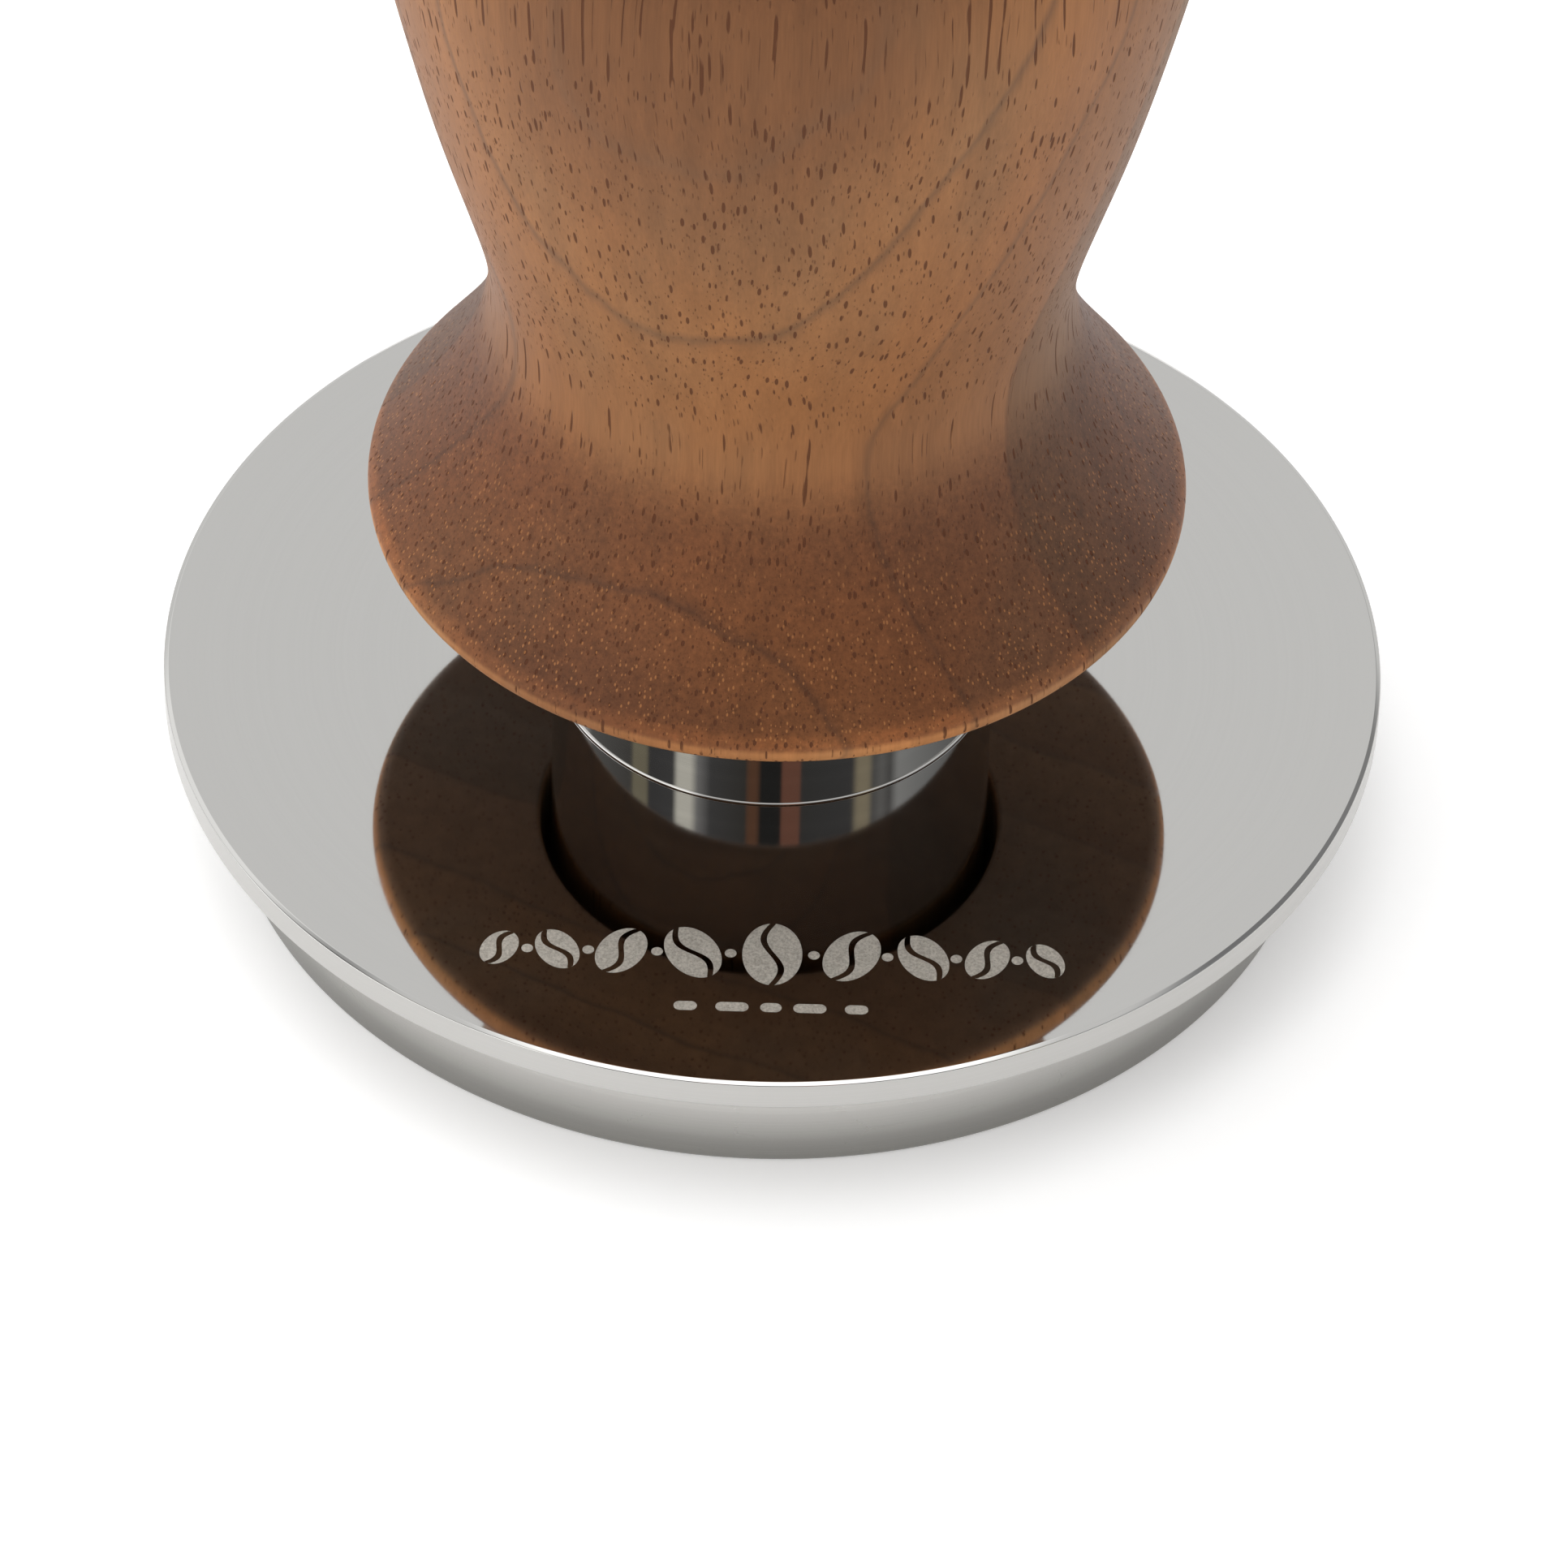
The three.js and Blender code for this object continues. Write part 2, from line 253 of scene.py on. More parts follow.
def handlingGroup():
    # Faint cloudy smears and sparse hairline scratches, each as a mask from 0 to 1.
    group, given, wanted = newGroup(
        "handling",
        [("Vector", arrow, None), ("Smear Size", number, 9.0)],
        [("Smear", number), ("Scratch", number)],
    )
    scale = maths(group, "DIVIDE", 1.0, given["Smear Size"])
    smear = addNode(
        group,
        "ShaderNodeTexNoise",
        {"Vector": given["Vector"], "Scale": scale, "Detail": 4.0, "Roughness": 0.6, "Distortion": 0.8},
    ).outputs["Fac"]
    group.links.new(remap(group, smear, 0.42, 0.75), wanted["Smear"])
    bent = stretch(group, given["Vector"], 0.09, 1.6, 1.0)
    lines = addNode(
        group,
        "ShaderNodeTexVoronoi",
        {"Vector": bent, "Scale": 0.55},
        feature="DISTANCE_TO_EDGE",
    ).outputs["Distance"]
    group.links.new(remap(group, lines, 0.012, 0.0), wanted["Scratch"])
    return group


def speckGroup():
    # Round specks, one to an irregular cell of the X-Y plane, so that they run up and down
    # as straight tubes. Share is the part of the cells that hold one. Radius and Edge are
    # measured in cells.
    group, given, wanted = newGroup(
        "specks",
        [
            ("Vector", arrow, None),
            ("Radius", number, 0.2),
            ("Share", number, 0.5),
            ("Edge", number, 0.06),
        ],
        [("Mask", number)],
    )
    cells = addNode(
        group,
        "ShaderNodeTexVoronoi",
        {"Vector": given["Vector"], "Scale": 1.0, "Randomness": 1.0},
        voronoi_dimensions="2D",
    ).outputs
    chance = addNode(group, "ShaderNodeSeparateColor", {0: cells["Color"]}).outputs
    kept = maths(group, "LESS_THAN", chance[0], given["Share"])
    size = maths(group, "MULTIPLY", given["Radius"], remap(group, chance[1], 0.0, 1.0, 0.55, 1.3))
    inner = maths(group, "SUBTRACT", size, given["Edge"])
    edge = addNode(
        group,
        "ShaderNodeMapRange",
        {"Value": cells["Distance"], 1: size, 2: inner, 3: 0.0, 4: 1.0},
        interpolation_type="SMOOTHSTEP",
    ).outputs[0]
    group.links.new(maths(group, "MULTIPLY", edge, kept), wanted["Mask"])
    return group


latheMarks = latheMarksGroup()
handling = handlingGroup()
specks = speckGroup()


walnutLook = {
    "faceTurn": 25.0,  # degrees, the way the flat of the boards faces, left of the front
    "lean": 0.07,  # how far the growth layers lean with height
    "twist": 0.0075,  # how they turn with height, per mm
    "twistFrom": 27.0,  # mm
    "wander": 2.0,  # mm, slow wander of the layers either way
    "ripple": 0.35,  # mm, closer ripple of the layers either way
    "span": (-24.0, 30.0),  # mm, across which the layer colours are laid
    "layers": (  # depth of the dark line that starts each layer in mm, first and last colour
        (-22.0, (0.230, 0.097, 0.034), (0.187, 0.078, 0.029)),
        (-16.5, (0.247, 0.105, 0.037), (0.197, 0.081, 0.029)),
        (-10.8, (0.230, 0.099, 0.035), (0.180, 0.076, 0.029)),
        (-5.0, (0.211, 0.093, 0.036), (0.163, 0.073, 0.030)),
        (1.0, (0.184, 0.088, 0.039), (0.171, 0.082, 0.035)),
        (7.0, (0.230, 0.101, 0.040), (0.226, 0.096, 0.036)),
        (13.8, (0.250, 0.104, 0.037), (0.280, 0.117, 0.040)),
        # The 19.0 layer darkening towards its end and the dark 23.3 layer are partly painted shade,
        # making the upper bulb darker.
        (19.0, (0.285, 0.121, 0.042), (0.180, 0.075, 0.028)),
        (23.3, (0.168, 0.069, 0.025), (0.160, 0.065, 0.023)),
    ),
    "line": (0.158, 0.071, 0.030),
    "lineWidth": 0.24,  # mm
    "grey": (0.175, 0.104, 0.054, 1),
    "cutAcross": (0.55, 0.46, 0.435, 1),  # end grain drinks more oil: multiplies the colour
    "upperBulb": (50.0, 62.0, 0.6),  # mm up, between which that fades to this share
    "mottle": (0.74, 1.26),  # darkest and palest blotches of the end grain
    "underside": (0.58, 0.71, 1.0, 1),  # painted shade: darkens the downward faces and gives them a greyer cast
    "pore": (0.080, 0.026, 0.010, 1),
    "fleck": (0.36, 0.150, 0.050, 1),
    "vessels": 2.05,  # cells per mm, each with or without one vessel
    "vesselRadius": 0.16,  # cells
    "smallerVessels": 2.2,  # times as many again, and as much thinner
    "fleckCells": 4.0,  # per mm
    "wornLitFrom": (20.75, 21.25),  # mm from the axis, where the rim is rubbed paler and carries a painted highlight
    "wornLitBelow": (30.0, 26.0),  # mm up
    # the rim's paler wear together with a painted highlight along the lip
    "worn": (1.62, 1.60, 1.50, 1),
    "roughness": 0.52,
}


def layerStops(look):
    # ramp stops for the growth layers: a thin dark line, then the layer's two colours
    low, high = look["span"]
    width = look["lineWidth"]
    stops = []
    before = None
    for line, first, last in look["layers"]:
        if before:
            stops.append((line - width, before))
        stops.append((line, look["line"]))
        stops.append((line + width, first))
        before = last
    return [((depth - low) / (high - low), colour + (1,)) for depth, colour in stops]


def walnutMaterial(look):
    made, tree, shader = newMaterial("walnut", {"IOR": 1.45, "Specular IOR Level": 0.22})
    place = inMillimetres(tree)
    turn = math.radians(look["faceTurn"])

    # depth through the growth layers, bent by slow noise
    wander = noise(tree, stretch(tree, place, 0.05, 0.05, 0.03), 1.0, 2.0)
    ripple = noise(tree, stretch(tree, place, 0.3, 0.3, 0.1), 1.0, 2.0)
    depth = addNode(
        tree,
        "ShaderNodeVectorMath",
        {0: place, 1: (-math.sin(turn), -math.cos(turn), look["lean"])},
        operation="DOT_PRODUCT",
    ).outputs["Value"]
    parts = addNode(tree, "ShaderNodeSeparateXYZ", {0: place}).outputs
    rise = maths(tree, "SUBTRACT", parts[2], look["twistFrom"])
    twist = maths(tree, "MULTIPLY", maths(tree, "MULTIPLY", parts[0], rise), look["twist"])
    depth = maths(tree, "ADD", depth, twist)
    for bend, reach in ((wander, look["wander"]), (ripple, look["ripple"])):
        depth = maths(tree, "ADD", depth, remap(tree, bend, 0.0, 1.0, -reach, reach, smooth=False))
    low, high = look["span"]
    base = colourRamp(tree, remap(tree, depth, low, high, smooth=False), layerStops(look))

    # slow drifts of colour, and fine fibre up the grain
    cloud = noise(tree, stretch(tree, place, 0.09, 0.09, 0.035, (3.0, 1.0, 5.0)), 1.0, 3.0)
    base = mixColours(tree, remap(tree, cloud, 0.45, 0.75, 0.0, 0.5), base, look["grey"])
    streak = noise(tree, stretch(tree, place, 1.1, 1.1, 0.06), 1.0, 3.0, 0.6)
    fibre = noise(tree, stretch(tree, place, 8.0, 8.0, 0.35), 1.0, 2.0, 0.6)
    shade = maths(
        tree,
        "MULTIPLY",
        remap(tree, streak, 0.25, 0.75, 0.90, 1.09),
        remap(tree, fibre, 0.2, 0.8, 0.92, 1.07),
    )
    grey = addNode(tree, "ShaderNodeCombineColor", {0: shade, 1: shade, 2: shade}).outputs[0]
    base = mixColours(tree, 1.0, base, grey, "MULTIPLY")

    # where the surface cuts across the grain it drinks more oil
    upward = addNode(tree, "ShaderNodeAttribute", attribute_name="upward").outputs["Fac"]
    start, end, share = look["upperBulb"]
    upperBulb = remap(tree, parts[2], start, end, 1.0, share)
    across = maths(tree, "MULTIPLY", remap(tree, upward, 0.0, 0.38), upperBulb)
    base = mixColours(tree, across, base, look["cutAcross"], "MULTIPLY")
    # painted shade: the downward faces are darkened and greyed
    base = mixColours(tree, remap(tree, upward, -0.5, -0.9), base, look["underside"], "MULTIPLY")
    blotches = noise(tree, place, 2.6, 4.0, 0.75)
    mottle = remap(tree, blotches, 0.3, 0.7, *look["mottle"], smooth=False)
    grey = addNode(tree, "ShaderNodeCombineColor", {0: mottle, 1: mottle, 2: mottle}).outputs[0]
    base = mixColours(tree, across, base, mixColours(tree, 1.0, base, grey, "MULTIPLY"))
    level = addNode(tree, "ShaderNodeCombineXYZ", {0: parts[0], 1: parts[1]}).outputs[0]
    radius = addNode(tree, "ShaderNodeVectorMath", {0: level}, operation="LENGTH").outputs["Value"]
    # the lip's rim is lightened: partly real wear, partly a painted highlight
    rim = remap(tree, radius, *look["wornLitFrom"])
    rim = maths(tree, "MULTIPLY", rim, remap(tree, upward, -0.95, -0.4))
    rim = maths(tree, "MULTIPLY", rim, remap(tree, parts[2], *look["wornLitBelow"]))
    base = mixColours(tree, rim, base, look["worn"], "MULTIPLY")

    # vessels: thin tubes up the grain, so that a wall cut along them shows streaks, a
    # sloping one dashes and a level one dots; they crowd just outside each growth line
    sway = noise(tree, stretch(tree, place, 0.15, 0.15, 0.10), 1.0, 1.0)
    sideways = maths(tree, "MULTIPLY", sway, 1.6)
    shift = addNode(tree, "ShaderNodeCombineXYZ", {0: sideways, 1: sway}).outputs[0]
    swayed = addNode(
        tree, "ShaderNodeVectorMath", {0: place, 1: shift}, operation="ADD"
    ).outputs["Vector"]
    crowd = remap(tree, noise(tree, stretch(tree, place, 0.35, 0.35, 0.08), 1.0), 0.3, 0.7, 0.6, 1.0)
    patches = noise(tree, stretch(tree, place, 0.45, 0.45, 0.12, (4.0, 6.0, 2.0)), 1.0, 2.0)
    cells = look["vessels"]
    smallCells = cells * look["smallerVessels"]
    large = placeGroup(
        tree,
        specks,
        {
            "Vector": stretch(tree, swayed, cells, cells, 1.0),
            "Radius": look["vesselRadius"],
            "Share": crowd,
            "Edge": 0.055,
        },
    )
    small = placeGroup(
        tree,
        specks,
        {
            "Vector": stretch(tree, swayed, smallCells, smallCells, 1.0, (7.0, 3.0, 1.0)),
            "Radius": look["vesselRadius"],
            "Share": remap(tree, patches, 0.35, 0.65, 0.4, 0.9),
            "Edge": 0.09,
        },
    )
    # each vessel is broken here and there along its length
    broken = noise(tree, stretch(tree, place, 2.2, 2.2, 0.45, (2.0, 8.0, 6.0)), 1.0, 1.0)
    whole = remap(tree, broken, 0.30, 0.42)
    faint = maths(tree, "MULTIPLY", small["Mask"], 0.6)
    pores = maths(tree, "MULTIPLY", maths(tree, "MAXIMUM", large["Mask"], faint), whole)
    base = mixColours(tree, maths(tree, "MULTIPLY", pores, 0.85), base, look["pore"])

    # pale flecks that show on the cut-across flare, where the vessels are fewer
    cells = look["fleckCells"]
    flecks = placeGroup(
        tree,
        specks,
        {
            "Vector": stretch(tree, place, cells, cells, 1.0, (1.0, 9.0, 4.0)),
            "Radius": 0.22,
            "Share": remap(tree, patches, 0.65, 0.35, 0.2, 0.75),
            "Edge": 0.13,
        },
    )
    showing = maths(tree, "MULTIPLY", flecks["Mask"], remap(tree, upward, 0.25, 0.6, 0.0, 0.7))
    base = mixColours(tree, showing, base, look["fleck"])
    tree.links.new(base, shader.inputs["Base Color"])

    sheen = maths(
        tree,
        "ADD",
        remap(tree, pores, 0.0, 1.0, look["roughness"], 0.75),
        remap(tree, cloud, 0.2, 0.8, -0.04, 0.06),
    )
    tree.links.new(sheen, shader.inputs["Roughness"])
    height = maths(tree, "SUBTRACT", maths(tree, "MULTIPLY", fibre, 0.12), pores)
    tree.links.new(bump(tree, height, 0.05 * mm, 0.8), shader.inputs["Normal"])
    return made


metalLooks = {
    # colour, roughness, marks per mm, how deep they are cut in mm, how much they vary
    # the tone, how much smears dull it
    "mirror_steel": ((0.505, 0.50, 0.485), 0.035, 5.0, 0.0, 0.006, 0.02),
    "sleeve_steel": ((0.50, 0.49, 0.475), 0.045, 14.0, 0.0002, 0.06, 0.02),
    "puck_steel": ((0.55, 0.54, 0.52), 0.24, 12.0, 0.0006, 0.04, 0.02),
    "edge_steel": ((0.505, 0.50, 0.485), 0.3, 14.0, 0.0005, 0.03, 0.02),
    "bright_steel": ((0.55, 0.55, 0.54), 0.22, 8.0, 0.0012, 0.06, 0.05),
    "dark_steel": ((0.10, 0.10, 0.11), 0.38, 7.0, 0.001, 0.1, 0.08),
    "spring_steel": ((0.42, 0.41, 0.40), 0.28, 5.0, 0.0008, 0.06, 0.06),
    "aluminium": ((0.72, 0.73, 0.74), 0.3, 6.0, 0.0016, 0.05, 0.05),
    "bronze": ((0.50, 0.30, 0.12), 0.4, 6.0, 0.001, 0.08, 0.1),
}


# The puck's wall is darkened towards its foot: painted shade, standing in for the floor's contact
# shadow seen in the wall.
paintedFootShades = {"puck_steel": (0.2, 4.6, 0.50)}  # heights in mm where the painted shade is full and where it ends, and the painted shade's tone


def metalMaterial(name, look, paintedFootShade=None):
    # turned metal: rings in tone, roughness and surface, plus faint smears from handling
    colour, roughness, marks, cut, varies, smear = look
    made, tree, shader = newMaterial(name, {"Metallic": 1.0})
    place = inMillimetres(tree)
    rings = placeGroup(tree, latheMarks, {"Vector": place, "Marks Per Mm": marks})
    touch = placeGroup(tree, handling, {"Vector": place})
    dark = tuple(part * (1 - varies) for part in colour) + (1,)
    light = tuple(min(1.0, part * (1 + varies)) for part in colour) + (1,)
    base = mixColours(tree, remap(tree, rings["Tone"], 0.3, 0.7), dark, light)
    # painted shade: the base colour darkens towards the foot, in place of the reflected contact shadow
    if paintedFootShade:
        low, high, tone = paintedFootShade
        height = addNode(tree, "ShaderNodeSeparateXYZ", {0: place}).outputs[2]
        footShadeMask = remap(tree, height, high, low)
        base = mixColours(tree, footShadeMask, base, (tone, tone, tone * 0.98, 1), "MULTIPLY")
    tree.links.new(base, shader.inputs["Base Color"])
    smooth, rough = roughness * (1 - 2 * varies), roughness * (1 + 2 * varies)
    ringed = remap(tree, rings["Tone"], 0.3, 0.7, smooth, rough)
    smeared = maths(tree, "MULTIPLY", touch["Smear"], smear)
    scratched = maths(tree, "MULTIPLY", touch["Scratch"], smear)
    worn = maths(tree, "ADD", smeared, scratched)
    tree.links.new(maths(tree, "ADD", ringed, worn), shader.inputs["Roughness"])
    if cut:
        tree.links.new(bump(tree, rings["Height"], cut * mm, 1.0), shader.inputs["Normal"])
    return made


plainLooks = {
    # darkest and palest colour, roughness, grain per mm
    "acetal": ((0.70, 0.67, 0.60), (0.80, 0.78, 0.71), 0.48, 3.0),
    "rubber": ((0.012, 0.012, 0.013), (0.03, 0.03, 0.032), 0.7, 5.0),
}


def plainMaterial(name, look):
    # moulded plastic or rubber: a fine grain in tone, roughness and surface
    dark, pale, roughness, scale = look
    made, tree, shader = newMaterial(name, {"Roughness": roughness})
    place = inMillimetres(tree)
    grain = noise(tree, place, scale, 4.0, 0.6)
    tone = mixColours(tree, remap(tree, grain, 0.3, 0.7), dark + (1,), pale + (1,))
    tree.links.new(tone, shader.inputs["Base Color"])
    uneven = remap(tree, grain, 0.3, 0.7, roughness - 0.06, roughness + 0.08)
    tree.links.new(uneven, shader.inputs["Roughness"])
    tree.links.new(bump(tree, grain, 0.01 * mm, 0.6), shader.inputs["Normal"])
    return made


etchedLook = {
    "dark": (0.36, 0.335, 0.295, 1),
    "pale": (0.60, 0.57, 0.51, 1),
    "pit": (0.26, 0.24, 0.21, 1),
    "roughness": (0.52, 0.72),
}


def etchedMaterial(look):
    # laser-frosted steel: grainy, matt, a little warm
    made, tree, shader = newMaterial("etched", {"Metallic": 0.4})
    place = inMillimetres(tree)
    grain = noise(tree, place, 7.0, 3.0, 0.7)
    pits = placeGroup(
        tree, specks, {"Vector": stretch(tree, place, 6.0, 6.0, 6.0), "Radius": 0.32, "Share": 0.5}
    )
    tone = mixColours(tree, remap(tree, grain, 0.3, 0.7), look["dark"], look["pale"])
    tone = mixColours(tree, maths(tree, "MULTIPLY", pits["Mask"], 0.35), tone, look["pit"])
    tree.links.new(tone, shader.inputs["Base Color"])
    tree.links.new(remap(tree, grain, 0.3, 0.7, *look["roughness"]), shader.inputs["Roughness"])
    tree.links.new(bump(tree, grain, 0.01 * mm, 0.7), shader.inputs["Normal"])
    return made


materials = {"walnut": walnutMaterial(walnutLook), "etched": etchedMaterial(etchedLook)}
for slotName, look in metalLooks.items():
    materials[slotName] = metalMaterial(slotName, look, paintedFootShades.get(slotName))
for slotName, look in plainLooks.items():
    materials[slotName] = plainMaterial(slotName, look)
print("materials made:", len(materials))


def buildMesh(name, points, quads, triangles, smooth=True):
    # points is (n, 3) in mm; quads and triangles are index arrays
    mesh = bpy.data.meshes.new(name)
    points = np.asarray(points, float) * mm
    quads = np.asarray(quads, int).reshape(-1, 4)
    triangles = np.asarray(triangles, int).reshape(-1, 3)
    totals = np.r_[np.full(len(quads), 4), np.full(len(triangles), 3)]
    mesh.vertices.add(len(points))
    mesh.vertices.foreach_set("co", points.ravel())
    mesh.loops.add(int(totals.sum()))
    mesh.loops.foreach_set("vertex_index", np.r_[quads.ravel(), triangles.ravel()])
    mesh.polygons.add(len(totals))
    mesh.polygons.foreach_set("loop_start", np.r_[0, np.cumsum(totals)[:-1]])
    mesh.polygons.foreach_set("loop_total", totals)
    mesh.polygons.foreach_set("use_smooth", np.full(len(totals), smooth))
    mesh.update(calc_edges=True)
    mesh.validate()
    return mesh


def ringQuads(rows, columns, wrapRows):
    # quads between each grid row and the next, round all columns
    i = np.arange(rows if wrapRows else rows - 1)[:, None]
    j = np.arange(columns)[None, :]
    nextI = (i + 1) % rows
    nextJ = (j + 1) % columns
    corners = (i * columns + j, nextI * columns + j, nextI * columns + nextJ, i * columns + nextJ)
    return np.stack(np.broadcast_arrays(*corners), axis=-1).reshape(-1, 4)


def revolve(name, profile, around=240):
    # Surface of revolution: point (i, j) is (r_i cos a_j, r_i sin a_j, z_i), with the
    # profile clockwise in the r-z plane. A profile that starts on the axis gets poles
    # there, and any other closes on itself.
    profile = np.asarray(profile, float)
    poles = profile[0, 0] < 1e-9
    body = profile[1:-1] if poles else profile
    angles = 2 * np.pi * np.arange(around) / around
    grid = np.stack(
        [
            body[:, :1] * np.cos(angles),
            body[:, :1] * np.sin(angles),
            np.broadcast_to(body[:, 1:], (len(body), around)),
        ],
        axis=-1,
    )
    points = grid.reshape(-1, 3)
    quads = ringQuads(len(body), around, not poles)
    triangles = np.zeros((0, 3), int)
    if poles:
        j = np.arange(around)
        nextJ = (j + 1) % around
        last = (len(body) - 1) * around
        top = len(points)
        ends = np.array([[0, 0, profile[0, 1]], [0, 0, profile[-1, 1]]])
        points = np.vstack([points, ends])
        triangles = np.vstack(
            [
                np.stack([np.full(around, top), j, nextJ], axis=1),
                np.stack([last + j, np.full(around, top + 1), last + nextJ], axis=1),
            ]
        )
    return buildMesh(name, points, quads, triangles)


def roundedProfile(corners, closed=True, steps=6, support=0.05):
    # Each (r, z, radius) corner becomes an arc tangent to its two sides, with one more
    # point a little way along each side to keep the flats flat. Arc points are the
    # corner circle's centre plus the radius along a direction blended from one side's
    # normal to the other's. An open path keeps its two ends as they are.
    corners = np.asarray(corners, float)
    spots, radii = corners[:, :2], corners[:, 2:]
    before = np.roll(spots, 1, axis=0) - spots
    after = np.roll(spots, -1, axis=0) - spots
    beforeLength = np.linalg.norm(before, axis=1, keepdims=True)
    afterLength = np.linalg.norm(after, axis=1, keepdims=True)
    before, after = before / beforeLength, after / afterLength
    half = np.arccos(np.clip((before * after).sum(1, keepdims=True), -1, 1)) / 2
    reach = np.minimum(radii / np.tan(half), 0.45 * np.minimum(beforeLength, afterLength))
    radii = reach * np.tan(half)
    middle = before + after
    centre = spots + middle / np.linalg.norm(middle, axis=1, keepdims=True) * radii / np.sin(half)
    first, last = spots + before * reach, spots + after * reach
    blend = np.linspace(0, 1, steps + 1)[None, :, None]
    spoke = (first - centre)[:, None] * (1 - blend) + (last - centre)[:, None] * blend
    spoke /= np.linalg.norm(spoke, axis=2, keepdims=True)
    arc = centre[:, None] + spoke * radii[:, None]
    extra = np.minimum(support, 0.25 * (np.minimum(beforeLength, afterLength) - reach))
    path = np.concatenate(
        [(first + before * extra)[:, None], arc, (last + after * extra)[:, None]], axis=1
    )
    if closed:
        return path.reshape(-1, 2)
    return np.vstack([spots[:1], path[1:-1].reshape(-1, 2), spots[-1:]])


def smoothPath(points, count):
    # Natural cubic spline through the points, by distance along them: the second
    # derivatives solve a tridiagonal system. The points are first repeated across r = 0,
    # so that the curve crosses the axis level, and the half from there is kept.
    points = np.asarray(points, float)
    points = np.vstack([points[:0:-1] * (-1, 1), points])
    t = np.r_[0, np.cumsum(np.linalg.norm(np.diff(points, axis=0), axis=1))]
    h = np.diff(t)
    n = len(points)
    system = np.eye(n)
    system[range(1, n - 1), range(0, n - 2)] = h[:-1]
    system[range(1, n - 1), range(1, n - 1)] = 2 * (h[:-1] + h[1:])
    system[range(1, n - 1), range(2, n)] = h[1:]
    slopes = np.diff(points, axis=0) / h[:, None]
    right = np.vstack([[0, 0], 6 * np.diff(slopes, axis=0), [0, 0]])
    curve = np.linalg.solve(system, right)
    where = np.linspace(t[n // 2], t[-1], count)
    k = np.clip(np.searchsorted(t, where, side="right") - 1, 0, n - 2)
    a, b = ((t[k + 1] - where) / h[k])[:, None], ((where - t[k]) / h[k])[:, None]
    h2 = (h[k] ** 2 / 6)[:, None]
    return (
        a * points[k] + b * points[k + 1] + ((a**3 - a) * curve[k] + (b**3 - b) * curve[k + 1]) * h2
    )


def loft(name, rings, smooth=False):
    # Tube through a stack of closed rings, (n, m, 3), with a flat face over each end.
    # Rings run anticlockwise seen from the end of the stack.
    rings = np.asarray(rings, float)
    n, m = rings.shape[:2]
    quads = ringQuads(n, m, False)[:, ::-1]
    fan = np.arange(1, m - 1)
    start = np.stack([np.zeros_like(fan), fan + 1, fan], axis=1)
    end = np.stack([np.zeros_like(fan), fan, fan + 1], axis=1) + (n - 1) * m
    return buildMesh(name, rings.reshape(-1, 3), quads, np.vstack([start, end]), smooth)


def addPiece(name, mesh, materialNames, body, nodes=()):
    piece = bpy.data.objects.new(name, mesh)
    scene.collection.objects.link(piece)
    for each in materialNames:
        mesh.materials.append(materials[each])
    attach(piece, body)
    if nodes:
        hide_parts(*nodes)
    return piece


def lowHigh(node):
    # a CAD node's lowest and highest corners, in mm
    low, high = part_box(node)
    return np.array(low) / mm, np.array(high) / mm


handleShape = {
    "dome": (84, 74, 62, 50, 38, 26, 13),  # degrees round the top
    "domePower": 2.25,
    "bulbHeight": 67.0,
    "side": (  # below the bulb's widest circle: mm below the bulb's height, radius
        (7.0, 20.75), (13.0, 19.5), (19.0, 18.05), (25.4, 16.2), (31.2, 15.12),
        (34.6, 15.55), (39.3, 17.55),
    ),
    "skirtRadius": 21.43,
    "skirtHeight": 0.9,  # above the handle's underside
    "lipRadius": 0.92,
    "lipAngle": 32.0,  # degrees, where the flare runs into the lip
    "mouthRadius": 12.4,
    "coreBore": 10.6,
    "stepHeight": 40.95,
    "boreTop": 70.2,
    "points": 230,
}


def handleMesh(shape):
    low, high = lowHigh("wood_handle")
    widest = high[0]
    bulb = shape["bulbHeight"]
    power = 2 / shape["domePower"]
    angles = np.radians(shape["dome"])
    dome = np.stack(
        [
            widest * np.cos(angles) ** power,
            bulb + (high[2] - bulb) * np.sin(angles) ** power,
        ],
        axis=1,
    )
    side = np.array(shape["side"])
    side = np.stack([side[:, 1], bulb - side[:, 0]], axis=1)
    lip = shape["lipRadius"]
    start = math.radians(shape["lipAngle"])
    lipCentre = np.array([shape["skirtRadius"] - lip, low[2] + shape["skirtHeight"]])
    lipStart = lipCentre + lip * np.array([math.cos(start), math.sin(start)])
    outline = smoothPath(
        np.vstack([[[0, high[2]]], dome, [[widest, bulb]], side, [lipStart]]),
        shape["points"],
    )
    sweep = np.linspace(start, -np.pi / 2, 14)[1:]
    lipArc = lipCentre + lip * np.stack([np.cos(sweep), np.sin(sweep)], axis=1)
    under = lipArc[-1]
    mouth, bore = shape["mouthRadius"], shape["coreBore"]
    inside = roundedProfile(
        [
            (under[0], under[1], 0),
            (mouth, under[1], 0.25),
            (mouth, shape["stepHeight"], 0.2),
            (bore, shape["stepHeight"], 0.15),
            (bore, shape["boreTop"], 0.6),
            (0, shape["boreTop"], 0),
        ],
        closed=False,
    )
    profile = np.vstack([outline, lipArc, inside[1:]])
    profile[0, 0] = 0
    profile[-1, 0] = 0
    mesh = revolve("wood_handle_turned", profile)
    # the upward part of the normal, which tells how squarely the surface cuts the grain
    normals = np.zeros(len(mesh.vertices) * 3)
    mesh.vertices.foreach_get("normal", normals)
    upward = np.ascontiguousarray(normals.reshape(-1, 3)[:, 2])
    mesh.attributes.new("upward", "FLOAT", "POINT").data.foreach_set("value", upward)
    return mesh


addPiece("walnut_handle", handleMesh(handleShape), ["walnut"], "handle", ["wood_handle"])
print("handle made")


